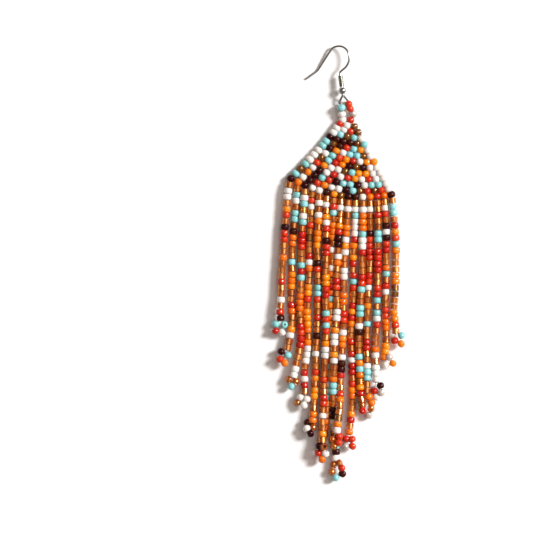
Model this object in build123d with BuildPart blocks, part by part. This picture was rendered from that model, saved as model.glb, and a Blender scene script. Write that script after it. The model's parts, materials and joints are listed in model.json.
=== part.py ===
from build123d import *
import math
import os

# Beaded fringe earring, lying flat on the plane Z = 0. All sizes are in mm.
# +Y runs up to the ear hook, +X is across the fringe, +Z is up from the surface.

# Seed beads, as strung
bead_width = 2.0
bead_length = 1.8
bead_gap = 0.16
bead_pitch = bead_width + bead_gap
rest_height = bead_width / 2

# Woven crown: brick stitch, one bead fewer in each row above the hem
hem_beads = 15
crown_rows = hem_beads - 1
row_pitch = 1.74
hem_centre = (0.75, 22.8)
crown_width = (hem_beads - 1) * bead_pitch
crown_height = (crown_rows - 1) * row_pitch
hem_tilt = 0.104
top_left = (0.016, 0.885)
top_right = (0.095, 0.880)
left_bow = (1.2, 0.4)
right_bow = (0.3, -0.6)
hem_sag = 2.7
row_overlap = 0.07
row_shoulder = 0.5

# Strands: each starts one bead below its hem bead
top_dome = bead_length + bead_gap
top_dome_radius = 0.7
top_dome_run = 0.3
end_dome_radius = 0.8
picot_radius = 0.82
picot_reach = 4.0
thread_radius = 0.3

# Ear hook, laid out from the ball: u across, v up the stem, z above the surface
wire_radius = 0.33
hook_turn = 6.8
ball_radius = 1.15
ball_height = 2.3
ball_from_top_row = (-1.28, 8.72)
drill_gap = 0.1
drill_radius = wire_radius + drill_gap
coil_radius = 0.73
coil_start = 1.2
coil_turns = 11
coil_wire = 0.31
foot_drop = 1.45
foot_radius = 0.48
hook_tail = 4.25
hook_corners = [
    (-6.64, 6.89, wire_radius, 3.0),
    (-1.26, 13.42, 1.35, 2.6),
    (3.14, 13.42, 2.5, 3.05),
    (3.22, 7.8, 2.75, 3.9),
    (-0.1, 5.6, 2.05, 0.9),
]
tail_turn = 29.0
ring_start = 0.12
ring_half = 1.5
ring_waist = 3.45
ring_drop = 5.2
ring_height = 0.45

# Route of each strand and of the picot that ends it, left to right: for every
# point its drift to the right and drop below the hem bead, and its lift off the surface
strands = [
    (
        [(-1, 4, 0), (-1.2, 9.4, 0), (-1.9, 15.7, 0), (-2.2, 23.2, 0), (-2.8, 28.9, 0),
         (-2.8, 35.8, 0.3), (-3.3, 39.6, 0.6), (-3, 41.8, 0.8)],
        [(-1.9, 43.8, 1), (-2.6, 46.1, 1.2), (-4.5, 45.7, 1.2), (-4.5, 43.6, 1)],
    ),
    (
        [(-0.6, 7.8, 0), (-1.4, 15, 0), (-1.9, 22.5, 0), (-1.7, 28.5, 0), (-2.2, 34.8, 0),
         (-1.5, 41.1, 0.2), (-2.3, 46, 0.6), (-3, 49.6, 0.9)],
        [(-3, 51.9, 1.2), (-4, 54.2, 1.4), (-5.4, 53.1, 1.5), (-5, 50.8, 1.2)],
    ),
    (
        [(-0.4, 7.4, 0), (-1, 14.6, 0), (-1.2, 21.5, 0), (-1.2, 28.4, 0), (-1.7, 34.4, 0),
         (-1.5, 41.6, 0), (-1.1, 46.1, 0), (-2.1, 51.5, 0.2), (-3.4, 56.9, 0.6)],
        [(-2.7, 58.8, 1), (-4.1, 60.3, 1.2), (-4.7, 58.2, 0.9)],
    ),
    (
        [(-0.4, 8.4, 0), (-1, 16.2, 0), (-0.8, 24.6, 0), (-1.4, 32.7, 0), (-1.6, 39, 0),
         (-1.1, 45, 0), (-1.7, 51, 0), (-2.6, 56.1, 0.2), (-2.3, 61, 0.7)],
        [(-1.7, 63.3, 1.2), (-2.5, 65.1, 1.6), (-4.4, 64.3, 0.5), (-3.5, 62.8, 1)],
    ),
    (
        [(-0.3, 9.5, 0), (-0.9, 17.9, 0), (-0.4, 26.3, 0), (-0.6, 34.7, 0), (-0.6, 40.7, 0),
         (-1.1, 47.9, 0), (-1.2, 55.1, 0), (-1.5, 62.6, 0.2), (-2, 68.9, 0.8)],
        [(-1.9, 71, 1.3), (-2.7, 72.8, 1.7), (-3.8, 71.4, 1.4), (-3.6, 69.6, 0.8)],
    ),
    (
        [(-0.2, 7.6, 0.6), (-0.1, 13.6, 1.3), (-0.3, 21.4, 1.3), (-0.2, 27.4, 1.3),
         (-0.4, 33.4, 1.3), (-0.1, 40, 1.6), (-0.4, 49, 1.6), (-1, 56.2, 1.3),
         (-0.9, 63.1, 1.7), (-1.4, 69.4, 1.9), (-1.3, 74.2, 2.2)],
        [(-0.9, 76.3, 3.4), (-0.4, 78.3, 2), (-1.4, 79.9, 1.6), (-2.5, 78.1, 1.8),
         (-2.2, 76, 1.8)],
    ),
    (
        [(-0.3, 6.5, 0), (-0.3, 13.4, 0), (-0.6, 22.1, 0), (-0.9, 31.7, 0), (-0.9, 42.2, 0),
         (-1.2, 51.2, 0), (-1.6, 58.7, 0), (-2.1, 65.3, 0), (-2.7, 71.9, 0)],
        [(-2.1, 74.2, 0), (-3, 75.8, 0), (-3.9, 73.9, 0)],
    ),
    (
        [(-0.2, 5.9, 0.4), (-0.9, 12.2, 1.5), (-0.9, 17.6, 1.4), (-1.4, 23, 1.5),
         (-1.5, 28.7, 1.6), (-1.1, 34.1, 1.6), (-1.8, 39.8, 1.9), (-2.2, 45.8, 2.1),
         (-2.2, 51.8, 2.1), (-2.5, 56.8, 1.9), (-2.5, 62, 1.6), (-2.3, 66.8, 0.5),
         (-2, 71.5, 0), (-1.4, 75.5, 0.2), (-1.6, 78.8, 0.6)],
        [(-0.6, 80.2, 1.2), (0.2, 81.7, 1.6), (0.4, 83.4, 1.2), (-1.5, 84.6, 0.9),
         (-2.7, 82.8, 0.6), (-2.2, 80.7, 0.4)],
    ),
    (
        [(-0.3, 6.2, 0), (-0.8, 12.2, 0), (-1.1, 17.3, 0), (-1.4, 24.5, 0), (-1.5, 32, 0),
         (-1.4, 37.7, 0), (-1.8, 43.7, 0), (-2, 50.9, 0), (-2.5, 56.9, 0), (-2.4, 61.1, 1.4),
         (-2.8, 65, 2.5), (-3.4, 70.1, 2.6)],
        [(-2.7, 71.9, 2.8), (-2.9, 73.8, 3), (-4.3, 74.8, 2.6), (-4.7, 72.8, 2.3)],
    ),
    (
        [(0, 5.7, 0), (-0.2, 11.7, 0), (-0.9, 19.5, 0), (-0.5, 27.3, 0), (-1.1, 35.7, 0),
         (-1.4, 42.9, 0), (-1, 50.7, 0), (-0.9, 58.5, 0), (-1.2, 65.4, 0.2), (-1.9, 70.5, 0.8)],
        [(-1.1, 72.6, 1.4), (-0.9, 74.7, 1.3), (-2.9, 74.7, 1), (-2.8, 72.5, 1.1)],
    ),
    (
        [(0.1, 6.8, 0), (-0.2, 14, 0), (-0.1, 22.4, 0), (-0.6, 30.2, 0), (-1, 36.8, 0),
         (-1.3, 45.2, 0), (-0.8, 52.4, 0), (-0.8, 57.2, 0.2), (-0.4, 60.7, 0.8)],
        [(-0.1, 62.2, 1.6), (0, 64, 1.5), (-1, 62.6, 0.3)],
    ),
    (
        [(0.2, 6.9, 0), (-0.2, 14.7, 0), (0, 21.3, 0), (-0.5, 28.5, 0), (-0.7, 35.7, 0),
         (-1, 43.5, 0), (-0.8, 50.7, 0.7), (-0.9, 57.9, 1)],
        [(-0.3, 59.9, 1.2), (0.5, 61.7, 1.5), (0.3, 63.4, 1.2), (-0.3, 65.4, 0.5)],
    ),
    (
        [(0.4, 7.6, 0), (0.1, 16, 0), (0.2, 23.2, 0), (-0.2, 32.8, 0), (0, 38.8, 0),
         (-0.7, 45.4, 0), (-0.4, 50.8, 0), (-0.3, 54.9, 0.6)],
        [(1, 56.7, 1.4), (1.2, 58.8, 1.2), (-0.2, 60.1, 0.8), (-0.8, 58.3, 0.8)],
    ),
    (
        [(0.5, 7.3, 0), (0.7, 13.9, 0), (0.4, 18.7, 0), (0.6, 25.3, 0), (0.2, 33.1, 0),
         (0.6, 40.3, 0), (0.5, 45.1, 0.2), (0, 48.6, 0.6)],
        [(1.5, 48.4, 1.3), (2.6, 50.3, 1.3), (0.4, 50.8, 1)],
    ),
    (
        [(0.8, 7.1, 0), (1.4, 14.9, 0), (1.2, 22.1, 0), (1.2, 29.9, 0), (0.5, 35.6, 0.2),
         (1.3, 38.9, 0.4), (1.2, 41.1, 0.7)],
        [(3, 42.3, 1.6), (2.9, 44.8, 1.4), (1, 43.9, 1.1)],
    ),
]

# Bead loop above the crown, measured from the middle of the crown's top row
left_column = [(-1.43, 1.75, 1.6), (-1.67, 4.25, 2.5)]
right_column = [(2.1, 1.8, 1.4), (1.05, 3.35, 2.0), (0.72, 4.75, 2.5)]
column_radius = 0.95
loop_thread_radius = 0.15
loop_thread = [
    (-1.65, 4.0, 2.4),
    (-1.1, 5.6, 2.2),
    (-0.75, 5.5, 0.3),
    (-0.05, 5.2, 0.18),
    (1.15, 4.95, 0.25),
    (0.9, 4.6, 2.35),
]


def crown_point(row, place):
    """Centre of a bead place in the crown: row 0 is the hem, place 0 is at the left."""
    t = row / (crown_rows - 1)
    bow = 4 * t * (1 - t)
    left_x = crown_width * (-0.5 * (1 - t) + top_left[0] * t) + left_bow[0] * bow
    left_y = crown_height * (hem_tilt * (1 - t) + top_left[1] * t) + left_bow[1] * bow
    right_x = crown_width * (0.5 * (1 - t) + top_right[0] * t) + right_bow[0] * bow
    right_y = crown_height * (-hem_tilt * (1 - t) + top_right[1] * t) + right_bow[1] * bow
    s = place / (hem_beads - row - 1)
    sag = hem_sag * (1 - t) ** 1.5 * 4 * s * (1 - s)
    return Vector(
        hem_centre[0] + left_x + (right_x - left_x) * s,
        hem_centre[1] + left_y + (right_y - left_y) * s - sag,
        rest_height,
    )


def bends(points):
    """The widest bend that fits at each corner of a route."""
    radii = []
    for before, corner, after in zip(points, points[1:], points[2:]):
        run = min((corner - before).length, (after - corner).length)
        turn = math.radians((corner - before).get_angle(after - corner))
        radii.append(0.45 * run / math.tan(turn / 2))
    return radii


def hook_point(u, v, z):
    """A point of the hook, given across and along its stem from the ball."""
    turn = math.radians(hook_turn)
    return Vector(
        ball_centre.X + u * math.cos(turn) - v * math.sin(turn),
        ball_centre.Y + u * math.sin(turn) + v * math.cos(turn),
        z,
    )


# Woven crown: each row is a bar with rounded shoulders, so the rows show as ribs
row_half = row_pitch / 2 + row_overlap
row_section = [
    (rest_height, row_half - row_shoulder),
    (rest_height - row_shoulder, row_half),
    (row_shoulder - rest_height, row_half),
    (-rest_height, row_half - row_shoulder),
    (-rest_height, row_shoulder - row_half),
    (row_shoulder - rest_height, -row_half),
    (rest_height - row_shoulder, -row_half),
    (rest_height, row_shoulder - row_half),
]
with BuildPart() as beaded_crown:
    for row in range(crown_rows):
        last = hem_beads - row - 1
        start = crown_point(row, -0.42)
        end = crown_point(row, last + 0.42)
        with BuildLine() as row_line:
            if row == crown_rows - 1:
                Line(start, end)
            else:
                ThreePointArc(start, crown_point(row, last / 2), end)
        with BuildSketch(Plane(origin=start, x_dir=(0, 0, 1), z_dir=row_line.line % 0)):
            Polygon(*row_section, align=None)
        sweep(path=row_line.line)
beaded_crown.part.label = "beaded_crown"

# Fringe strands with their picots
strand_parts = []
for number, (route, picot) in enumerate(strands[:hem_beads], start=1):
    hem = crown_point(0, number - 1)
    points = [hem + Vector(drift, -drop, lift) for drift, drop, lift in route]
    beads = [hem + Vector(drift, -drop, lift) for drift, drop, lift in picot]
    along = (points[0] - hem).normalized()
    top = hem + along * top_dome
    axis_points = [top + along * top_dome_run] + points
    radii = bends(axis_points)
    middle = sum(beads, Vector(0, 0, 0)) / len(beads)
    loop = [points[-1]] + beads
    if (beads[-1] - points[-1]).length < picot_reach:
        loop.append(points[-1])
    with BuildPart() as strand:
        with BuildLine() as axis:
            FilletPolyline(*axis_points, radius=radii)
        with BuildSketch(Plane(origin=axis_points[0], z_dir=axis.line % 0)):
            Circle(bead_width / 2)
        sweep(path=axis.line)
        tube = strand.part.volume
        with Locations(Plane(origin=top, z_dir=along)):
            Sphere(top_dome_radius)
        with Locations(Plane(origin=points[-1], z_dir=axis.line % 1)):
            Sphere(end_dome_radius)
        for bead in beads:
            outward = Vector(bead.X - middle.X, bead.Y - middle.Y, 0)
            with Locations(Plane(origin=bead, x_dir=outward, z_dir=(0, 0, 1))):
                Sphere(picot_radius)
        for here, there in zip(loop, loop[1:]):
            with BuildSketch(Plane(origin=here, z_dir=there - here)):
                Circle(thread_radius)
            extrude(amount=(there - here).length)
    strand.part.label = f"fringe_strand_{number:02d}"
    strand_parts.append(strand.part)
    run_length = axis.wire().length
    tube_section = math.pi * (bead_width / 2) ** 2
    print(
        strand.part.label,
        "length", round(run_length, 1),
        "volume ratio", round(tube / (tube_section * run_length), 3),
        "bend radii", [round(radius) for radius in radii],
    )

# Ear hook: tail, arch and stem of one round wire, closed below the ball by a pear-shaped loop
top_row = (crown_point(crown_rows - 1, 0) + crown_point(crown_rows - 1, 1)) / 2
ball_centre = Vector(
    top_row.X + ball_from_top_row[0], top_row.Y + ball_from_top_row[1], ball_height
)
stem_top = hook_point(*hook_corners[-1][:3])
stem_up = (stem_top - ball_centre).normalized()
foot = ball_centre - stem_up * foot_drop
kink = hook_point(*hook_corners[0][:3])
tail_angle = math.radians(hook_turn + tail_turn)
tail_end = kink - Vector(math.cos(tail_angle), math.sin(tail_angle), 0) * hook_tail
wire_points = [tail_end] + [hook_point(*corner[:3]) for corner in hook_corners] + [foot]
ring_side = (foot.Z * (ring_drop - ring_waist) + ring_height * (ring_waist - foot_drop)) / (
    ring_drop - foot_drop
)
ring_points = [
    foot - Vector(ring_start, 0, 0),
    hook_point(-ring_half, -ring_waist, ring_side),
    hook_point(0, -ring_drop, ring_height),
    hook_point(ring_half, -ring_waist, ring_side),
    foot + Vector(ring_start, 0, 0),
]
foot_side = hook_point(math.cos(0.3), math.sin(0.3), ball_height) - ball_centre
with BuildPart() as ear_hook:
    with BuildLine() as wire:
        FilletPolyline(*wire_points, radius=[corner[3] for corner in hook_corners])
    with BuildSketch(Plane(origin=tail_end, z_dir=wire.line % 0)):
        Circle(wire_radius)
    sweep(path=wire.line)
    with Locations(Plane(origin=foot, x_dir=foot_side, z_dir=(0, 0, 1))):
        Sphere(foot_radius)
    with BuildLine() as ring:
        FilletPolyline(*ring_points, radius=[1.0, 0.8, 1.0])
    with BuildSketch(Plane(origin=ring_points[0], z_dir=ring.line % 0)):
        Circle(wire_radius)
    sweep(path=ring.line)
ear_hook.part.label = "ear_hook"

# Close-wound coil and drilled ball on the stem
stem_side = Vector(math.cos(math.radians(hook_turn)), math.sin(math.radians(hook_turn)), 0)
stem_side = (stem_side - stem_up * stem_side.dot(stem_up)).normalized()
coil_plane = Plane(origin=ball_centre, x_dir=stem_side, z_dir=stem_side.cross(stem_up))
with BuildPart() as hook_coil:
    with BuildSketch(coil_plane) as turns:
        with Locations((drill_radius, coil_start)):
            Rectangle(
                coil_radius - drill_radius - coil_wire / 4,
                coil_turns * coil_wire,
                align=(Align.MIN, Align.MIN),
            )
        with Locations((coil_radius - coil_wire / 2, coil_start + coil_turns * coil_wire / 2)):
            with GridLocations(0, coil_wire, 1, coil_turns):
                Circle(0.48 * coil_wire)
    revolve(axis=Axis(ball_centre, stem_up))
hook_coil.part.label = "hook_coil"

with BuildPart(Plane(origin=ball_centre, z_dir=stem_up)) as hook_ball:
    Sphere(ball_radius)
    Cylinder(drill_radius, 3 * ball_radius, mode=Mode.SUBTRACT)
hook_ball.part.label = "hook_ball"

# Bead loop: two short bead columns and the thread that carries them through the hook's loop
with BuildPart() as hanging_loop:
    for column in (left_column, right_column):
        spots = [Vector(top_row.X + x, top_row.Y + y, z) for x, y, z in column]
        with BuildLine() as column_line:
            if len(spots) == 2:
                Line(*spots)
            else:
                FilletPolyline(*spots, radius=bends(spots))
        with BuildSketch(Plane(origin=spots[0], z_dir=column_line.line % 0)):
            Circle(column_radius)
        sweep(path=column_line.line)
    spots = [Vector(top_row.X + x, top_row.Y + y, z) for x, y, z in loop_thread]
    for here, there in zip(spots, spots[1:]):
        with BuildSketch(Plane(origin=here, z_dir=there - here)):
            Circle(loop_thread_radius)
        extrude(amount=(there - here).length)
    with Locations(*spots):
        Sphere(loop_thread_radius)
hanging_loop.part.label = "hanging_loop"

os.makedirs("parts", exist_ok=True)
for part in strand_parts:
    export_step(part, f"parts/{part.label}.step")
export_step(beaded_crown.part, "parts/beaded_crown.step")
export_step(ear_hook.part, "parts/ear_hook.step")
export_step(hook_coil.part, "parts/hook_coil.step")
export_step(hook_ball.part, "parts/hook_ball.step")
export_step(hanging_loop.part, "parts/hanging_loop.step")
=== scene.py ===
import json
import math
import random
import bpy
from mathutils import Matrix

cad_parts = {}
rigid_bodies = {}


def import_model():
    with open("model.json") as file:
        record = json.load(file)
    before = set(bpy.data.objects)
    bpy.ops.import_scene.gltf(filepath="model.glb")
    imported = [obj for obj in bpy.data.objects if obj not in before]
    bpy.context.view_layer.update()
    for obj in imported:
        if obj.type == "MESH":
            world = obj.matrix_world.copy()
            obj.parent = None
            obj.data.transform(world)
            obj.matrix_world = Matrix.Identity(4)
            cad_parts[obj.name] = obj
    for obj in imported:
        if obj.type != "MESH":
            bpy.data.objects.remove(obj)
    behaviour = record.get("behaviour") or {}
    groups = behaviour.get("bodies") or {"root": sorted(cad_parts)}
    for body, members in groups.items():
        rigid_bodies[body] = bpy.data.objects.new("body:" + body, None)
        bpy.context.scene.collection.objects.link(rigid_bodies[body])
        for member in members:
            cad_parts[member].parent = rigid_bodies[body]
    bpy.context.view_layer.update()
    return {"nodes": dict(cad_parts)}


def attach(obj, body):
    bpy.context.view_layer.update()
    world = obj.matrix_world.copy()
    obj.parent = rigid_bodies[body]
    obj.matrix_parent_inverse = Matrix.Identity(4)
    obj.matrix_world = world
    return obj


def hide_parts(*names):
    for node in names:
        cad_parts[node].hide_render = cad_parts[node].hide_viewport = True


bl_info = {
    "name": "Beaded Fringe Earring",
    "version": (1, 0, 0),
    "blender": (4, 5, 0),
    "location": "3D Viewport > Sidebar > Earring",
    "description": "Beads a fringe earring, polishes its ear wire and lays it on a table",
    "category": "Object",
}

from collections import namedtuple

import bpy
from bpy.props import FloatProperty, FloatVectorProperty, IntProperty, PointerProperty
from mathutils import Vector

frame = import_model()

# Metres in a millimetre
MM = 0.001

# Kinds of glass bead, by the number that each bead point carries
WHITE, TURQUOISE, ORANGE, RED, DARK, AMBER, BROWN, CLEAR = range(8)
LETTERS = dict(zip("WTORDABC", range(8)))

# Glass of each kind, in the order of its numbers: its material, the setting with its colour, how
# much its beads differ in light and hue, how dull, see-through and milky it is, and how much it
# mirrors
Glass = namedtuple("Glass", "name colour light_spread hue_spread dull see_through milky mirror")
GLASSES = [
    Glass("pearl_white_glass", "white", 0.12, 0.02, 0.1, 0.0, 0.7, 0.5),
    Glass("turquoise_glass", "turquoise", 0.25, 0.03, 0.1, 0.0, 0.4, 0.5),
    Glass("orange_glass", "orange", 0.2, 0.02, 0.1, 0.0, 0.3, 0.5),
    Glass("coral_red_glass", "red", 0.3, 0.008, 0.1, 0.0, 0.3, 0.5),
    Glass("dark_garnet_glass", "dark", 0.5, 0.03, 0.06, 0.0, 0.0, 0.2),
    Glass("amber_glass", "amber", 0.3, 0.02, 0.02, 0.68, 0.0, 0.5),
    Glass("bronze_brown_glass", "brown", 0.4, 0.02, 0.02, 0.4, 0.0, 0.5),
    Glass("clear_glass", "clear", 0.1, 0.0, 0.02, 0.45, 0.0, 0.5),
]
LINING_NAMES = {AMBER: "gold_lining", BROWN: "gold_lining", CLEAR: "silver_lining"}
LINED = tuple(LINING_NAMES)
LINING_ROUGHNESS = 0.24
# Painted glint and shade streaks in the lining of a bead: cells per metre across and down the
# strands, the stretch of the noise that they show, and the painted shade between the glints as a
# share of the lining's colour
PAINTED_GLINT_STREAKS = (2800, 240, 2800)
PAINTED_GLINT_CONTRAST = (0.4, 0.58)
PAINTED_GLINT_SHADE = 0.2

# Metal of the ear wire's parts. The coil's wire is duller than the rest by a factor. Where the
# steel is stained, its shade is a share of its colour, and its dullness goes from a least to a
# most share of its roughness.
STEEL_PARTS = [
    ("ear_hook", "polished_steel"),
    ("hook_coil", "coil_steel"),
    ("hook_ball", "polished_steel"),
]
COIL_DULLNESS = 1.3
STAIN_SHADE = 0.72
STAIN_DULLNESS = (0.7, 1.5)

# Bead shapes, in the order of their names, and the sides of a bead and of the thread
BARREL, CUT, LINED_ROUND, ROUND = range(4)
BEAD_SIDES = 12
THREAD_SIDES = 6

# Shares of each kind in the crown's middle and at its edges, and in the strands of the fringe
CROWN_MIDDLE = {WHITE: 28, TURQUOISE: 14, RED: 13, DARK: 16, ORANGE: 12, BROWN: 14, CLEAR: 3}
CROWN_EDGES = {WHITE: 38, TURQUOISE: 20, RED: 14, DARK: 9, ORANGE: 14, BROWN: 5}
FRINGE_MIX = {ORANGE: 29, RED: 26, WHITE: 25, TURQUOISE: 14, DARK: 7, BROWN: 1}

# Lengths of the runs of beads in a strand, and how often a bead repeats the one above it
COLOUR_RUNS = (1, 2, 2, 3, 3, 4)
AMBER_RUNS = (1, 1, 2, 2, 2, 3)
REPEAT_CHANCE = 0.3

# Start of the random turns, sizes and tints in a string of beads; a strand adds its number
CROWN_SEED = 1
LOOP_SEED = 3
FRINGE_SEED = 10

# How unevenly the beads sit: lean as a share of their axis, shift in millimetres.
# Every second strand is raised, in millimetres, so that neighbours can overlap.
CROWN_LEAN = 0.12
CROWN_SHIFT = 0.07
EDGE_LEAN = 1.6
EDGE_GIRTH = 1.06
STRAND_LEAN = 0.06
STRAND_SHIFT = 0.04
STRAND_RISE = 0.6

# Crown: the weave's rule, in millimetres and in shares of its width and height.
# The bows push its sides out, the sag lowers the middle of the hem, and the rest height is that
# of the middle of its beads above the table.
HEM_BEADS = 15
CROWN_ROWS = HEM_BEADS - 1
BEAD_PITCH = 2.16
ROW_PITCH = 1.74
HEM_CENTRE = (0.75, 22.8)
CROWN_WIDTH = (HEM_BEADS - 1) * BEAD_PITCH
CROWN_HEIGHT = (CROWN_ROWS - 1) * ROW_PITCH
HEM_TILT = 0.104
TOP_LEFT = (0.016, 0.885)
TOP_RIGHT = (0.095, 0.880)
LEFT_BOW = (1.2, 0.4)
RIGHT_BOW = (0.3, -0.6)
HEM_SAG = 2.7
REST_HEIGHT = 1.2
# Glass of the crown's top row and of the row under it
TOP_ROWS = ("WR", "RWB")

# Fringe: for each strand the points of its route as drift, drop and lift in millimetres
# from its hem bead, the beads of the picot that ends it, and its first beads below the hem
Strand = namedtuple("Strand", "route picot picot_glass first")
STRANDS = [
    Strand(
        [(-1, 4, 0), (-1.2, 9.4, 0), (-1.9, 15.7, 0), (-2.2, 23.2, 0), (-2.8, 28.9, 0),
         (-2.8, 35.8, 0.3), (-3.3, 39.6, 0.6), (-3, 41.8, 0.8)],
        [(-1.9, 43.8, 1), (-2.6, 46.1, 1.2), (-4.5, 45.7, 1.2), (-4.5, 43.6, 1)],
        "TWRT", "AWWAORAD",
    ),
    Strand(
        [(-0.6, 7.8, 0), (-1.4, 15, 0), (-1.9, 22.5, 0), (-1.7, 28.5, 0), (-2.2, 34.8, 0),
         (-1.5, 41.1, 0.2), (-2.3, 46, 0.6), (-3, 49.6, 0.9)],
        [(-3, 51.9, 1.2), (-4, 54.2, 1.4), (-5.4, 53.1, 1.5), (-5, 50.8, 1.2)],
        "TORD", "ATWATTAD",
    ),
    Strand(
        [(-0.4, 7.4, 0), (-1, 14.6, 0), (-1.2, 21.5, 0), (-1.2, 28.4, 0), (-1.7, 34.4, 0),
         (-1.5, 41.6, 0), (-1.1, 46.1, 0), (-2.1, 51.5, 0.2), (-3.4, 56.9, 0.6)],
        [(-2.7, 58.8, 1), (-4.1, 60.3, 1.2), (-4.7, 58.2, 0.9)],
        "ATA", "AWTAWTAR",
    ),
    Strand(
        [(-0.4, 8.4, 0), (-1, 16.2, 0), (-0.8, 24.6, 0), (-1.4, 32.7, 0), (-1.6, 39, 0),
         (-1.1, 45, 0), (-1.7, 51, 0), (-2.6, 56.1, 0.2), (-2.3, 61, 0.7)],
        [(-1.7, 63.3, 1.2), (-2.5, 65.1, 1.6), (-4.4, 64.3, 0.5), (-3.5, 62.8, 1)],
        "WWAW", "ARWAARA",
    ),
    Strand(
        [(-0.3, 9.5, 0), (-0.9, 17.9, 0), (-0.4, 26.3, 0), (-0.6, 34.7, 0), (-0.6, 40.7, 0),
         (-1.1, 47.9, 0), (-1.2, 55.1, 0), (-1.5, 62.6, 0.2), (-2, 68.9, 0.8)],
        [(-1.9, 71, 1.3), (-2.7, 72.8, 1.7), (-3.8, 71.4, 1.4), (-3.6, 69.6, 0.8)],
        "ADWD", "AWAWOA",
    ),
    Strand(
        [(-0.2, 7.6, 0.6), (-0.1, 13.6, 1.3), (-0.3, 21.4, 1.3), (-0.2, 27.4, 1.3),
         (-0.4, 33.4, 1.3), (-0.1, 40, 1.6), (-0.4, 49, 1.6), (-1, 56.2, 1.3),
         (-0.9, 63.1, 1.7), (-1.4, 69.4, 1.9), (-1.3, 74.2, 2.2)],
        [(-0.9, 76.3, 3.4), (-0.4, 78.3, 2), (-1.4, 79.9, 1.6), (-2.5, 78.1, 1.8),
         (-2.2, 76, 1.8)],
        "AWORD", "AWAOWRA",
    ),
    Strand(
        [(-0.3, 6.5, 0), (-0.3, 13.4, 0), (-0.6, 22.1, 0), (-0.9, 31.7, 0), (-0.9, 42.2, 0),
         (-1.2, 51.2, 0), (-1.6, 58.7, 0), (-2.1, 65.3, 0), (-2.7, 71.9, 0)],
        [(-2.1, 74.2, 0), (-3, 75.8, 0), (-3.9, 73.9, 0)],
        "WAA", "ARTAO",
    ),
    Strand(
        [(-0.2, 5.9, 0.4), (-0.9, 12.2, 1.5), (-0.9, 17.6, 1.4), (-1.4, 23, 1.5),
         (-1.5, 28.7, 1.6), (-1.1, 34.1, 1.6), (-1.8, 39.8, 1.9), (-2.2, 45.8, 2.1),
         (-2.2, 51.8, 2.1), (-2.5, 56.8, 1.9), (-2.5, 62, 1.6), (-2.3, 66.8, 0.5),
         (-2, 71.5, 0), (-1.4, 75.5, 0.2), (-1.6, 78.8, 0.6)],
        [(-0.6, 80.2, 1.2), (0.2, 81.7, 1.6), (0.4, 83.4, 1.2), (-1.5, 84.6, 0.9),
         (-2.7, 82.8, 0.6), (-2.2, 80.7, 0.4)],
        "ARDTAA", "AWAAO",
    ),
    Strand(
        [(-0.3, 6.2, 0), (-0.8, 12.2, 0), (-1.1, 17.3, 0), (-1.4, 24.5, 0), (-1.5, 32, 0),
         (-1.4, 37.7, 0), (-1.8, 43.7, 0), (-2, 50.9, 0), (-2.5, 56.9, 0), (-2.4, 61.1, 1.4),
         (-2.8, 65, 2.5), (-3.4, 70.1, 2.6)],
        [(-2.7, 71.9, 2.8), (-2.9, 73.8, 3), (-4.3, 74.8, 2.6), (-4.7, 72.8, 2.3)],
        "RRAA", "AWAAO",
    ),
    Strand(
        [(0, 5.7, 0), (-0.2, 11.7, 0), (-0.9, 19.5, 0), (-0.5, 27.3, 0), (-1.1, 35.7, 0),
         (-1.4, 42.9, 0), (-1, 50.7, 0), (-0.9, 58.5, 0), (-1.2, 65.4, 0.2), (-1.9, 70.5, 0.8)],
        [(-1.1, 72.6, 1.4), (-0.9, 74.7, 1.3), (-2.9, 74.7, 1), (-2.8, 72.5, 1.1)],
        "RRCR", "AWTWWW",
    ),
    Strand(
        [(0.1, 6.8, 0), (-0.2, 14, 0), (-0.1, 22.4, 0), (-0.6, 30.2, 0), (-1, 36.8, 0),
         (-1.3, 45.2, 0), (-0.8, 52.4, 0), (-0.8, 57.2, 0.2), (-0.4, 60.7, 0.8)],
        [(-0.1, 62.2, 1.6), (0, 64, 1.5), (-1, 62.6, 0.3)],
        "ARC", "AWOOO",
    ),
    Strand(
        [(0.2, 6.9, 0), (-0.2, 14.7, 0), (0, 21.3, 0), (-0.5, 28.5, 0), (-0.7, 35.7, 0),
         (-1, 43.5, 0), (-0.8, 50.7, 0.7), (-0.9, 57.9, 1)],
        [(-0.3, 59.9, 1.2), (0.5, 61.7, 1.5), (0.3, 63.4, 1.2), (-0.3, 65.4, 0.5)],
        "OOAC", "AWAAAD",
    ),
    Strand(
        [(0.4, 7.6, 0), (0.1, 16, 0), (0.2, 23.2, 0), (-0.2, 32.8, 0), (0, 38.8, 0),
         (-0.7, 45.4, 0), (-0.4, 50.8, 0), (-0.3, 54.9, 0.6)],
        [(1, 56.7, 1.4), (1.2, 58.8, 1.2), (-0.2, 60.1, 0.8), (-0.8, 58.3, 0.8)],
        "DCWR", "AARAAT",
    ),
    Strand(
        [(0.5, 7.3, 0), (0.7, 13.9, 0), (0.4, 18.7, 0), (0.6, 25.3, 0), (0.2, 33.1, 0),
         (0.6, 40.3, 0), (0.5, 45.1, 0.2), (0, 48.6, 0.6)],
        [(1.5, 48.4, 1.3), (2.6, 50.3, 1.3), (0.4, 50.8, 1)],
        "COW", "AWRADW",
    ),
    Strand(
        [(0.8, 7.1, 0), (1.4, 14.9, 0), (1.2, 22.1, 0), (1.2, 29.9, 0), (0.5, 35.6, 0.2),
         (1.3, 38.9, 0.4), (1.2, 41.1, 0.7)],
        [(3, 42.3, 1.6), (2.9, 44.8, 1.4), (1, 43.9, 1.1)],
        "TOR", "ATTARO",
    ),
]
# Picot beads that lie hole upwards, by strand and place
UPRIGHT = {(1, 0), (6, 0)}
UPRIGHT_AXIS = (0.25, 0.1, 1)
# Place of a strand's first bead, in pitches below its hem bead
FIRST_BEAD = 1.06
# Share of its pitch that a solid-coloured bead fills
BARREL_FILL = 0.99
# A picot whose last bead ends nearer to the strand than this, in millimetres, is closed
PICOT_REACH = 4

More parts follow.
